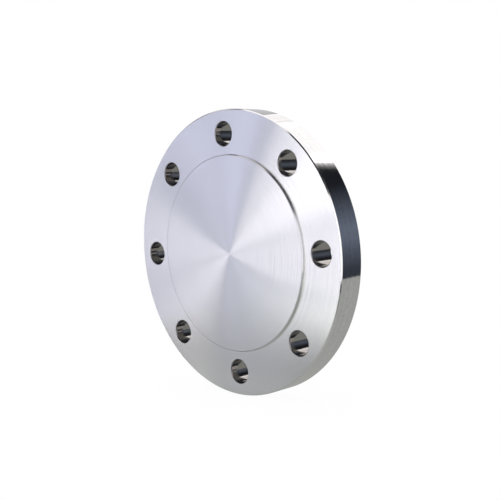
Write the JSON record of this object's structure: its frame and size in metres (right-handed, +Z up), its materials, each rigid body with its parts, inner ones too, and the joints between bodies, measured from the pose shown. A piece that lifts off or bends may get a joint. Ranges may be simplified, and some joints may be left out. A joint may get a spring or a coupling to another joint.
{
  "type": "blind flange",
  "caption": "Round raised-face blind flange in turned stainless steel, a solid plate with a ring of bolt holes that closes the open end of a flanged pipe, valve or nozzle.",
  "frame": {"origin": "centre of the raised gasket face", "axes": "-Y points out of the gasket face towards the mating flange, +Y runs through the plate to its back, +Z is up through a bolt hole, and the flange stands on its rim"},
  "size_m": [0.2286, 0.0243, 0.2286],
  "materials": {
    "turned_stainless_steel": "bright, finely turned, with the tool's lay running in circles about the axis"
  },
  "bodies": {
    "root": {"blind_flange": "turned_stainless_steel"}
  },
  "joints": []
}
